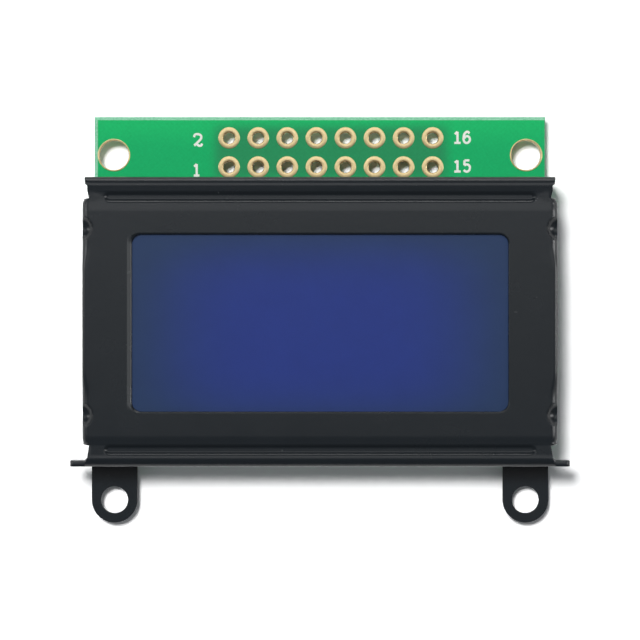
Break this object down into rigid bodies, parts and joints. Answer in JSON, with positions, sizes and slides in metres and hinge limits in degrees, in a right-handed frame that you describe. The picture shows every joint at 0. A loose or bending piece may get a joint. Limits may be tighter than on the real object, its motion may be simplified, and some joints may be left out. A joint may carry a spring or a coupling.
{
  "type": "character lcd module",
  "caption": "Small character LCD module: green board with header and fixing holes, and a black folded steel bezel with fixing lugs around a blue display window.",
  "frame": {"origin": "centre of the module's outline in plan, at the lowest point of its back, the crown of the resin cap", "axes": "+Z out of the display's face, +Y towards the header edge of the board, +X to the right as seen from the front with the header at the top"},
  "size_m": [0.043, 0.0356, 0.009],
  "materials": {
    "bezel_black": "satin black paint",
    "board_green": "glossy solder resist",
    "plated_copper": "plated, satin",
    "cell_glass": "polished",
    "seal_epoxy": "cured epoxy",
    "crystal_layer": "clear blue",
    "polarizer_blue": "dark blue film",
    "connector_rubber": "smooth silicone",
    "white_plastic": "moulded",
    "mirror_film": "bright film",
    "clear_acrylic": "polished",
    "matt_film": "matt film",
    "strip_board": "white solder resist",
    "led_body": "moulded",
    "tinned_wire": "tinned",
    "solder": "smooth solder",
    "resin_black": "cured resin",
    "resistor_ceramic": "glazed top, tinned ends",
    "capacitor_ceramic": "bare ceramic, tinned ends"
  },
  "bodies": {
    "root": {"bezel": "bezel_black", "printed_board": "board_green", "hole_ring_left": "plated_copper", "hole_ring_right": "plated_copper", "header_pad_01": "plated_copper", "header_pad_02": "plated_copper", "header_pad_03": "plated_copper", "header_pad_04": "plated_copper", "header_pad_05": "plated_copper", "header_pad_06": "plated_copper", "header_pad_07": "plated_copper", "header_pad_08": "plated_copper", "header_pad_09": "plated_copper", "header_pad_10": "plated_copper", "header_pad_11": "plated_copper", "header_pad_12": "plated_copper", "header_pad_13": "plated_copper", "header_pad_14": "plated_copper", "header_pad_15": "plated_copper", "header_pad_16": "plated_copper", "front_glass": "cell_glass", "rear_glass": "cell_glass", "cell_seal": "seal_epoxy", "liquid_crystal": "crystal_layer", "end_seal": "seal_epoxy", "front_polarizer": "polarizer_blue", "rear_polarizer": "polarizer_blue", "connector_strip_upper": "connector_rubber", "connector_strip_lower": "connector_rubber", "contact_fingers_upper": "plated_copper", "contact_fingers_lower": "plated_copper", "backlight_frame": "white_plastic", "reflector_sheet": "mirror_film", "light_guide": "clear_acrylic", "diffuser_sheet": "matt_film", "led_strip": "strip_board", "led_1": "led_body", "led_2": "led_body", "led_3": "led_body", "backlight_lead_a": "tinned_wire", "backlight_lead_k": "tinned_wire", "solder_joint_a": "solder", "solder_joint_k": "solder", "resin_cap": "resin_black", "resistor_1": "resistor_ceramic", "resistor_2": "resistor_ceramic", "resistor_3": "resistor_ceramic", "resistor_4": "resistor_ceramic", "resistor_5": "resistor_ceramic", "resistor_6": "resistor_ceramic", "resistor_7": "resistor_ceramic", "capacitor_1": "capacitor_ceramic", "capacitor_2": "capacitor_ceramic"}
  },
  "joints": []
}
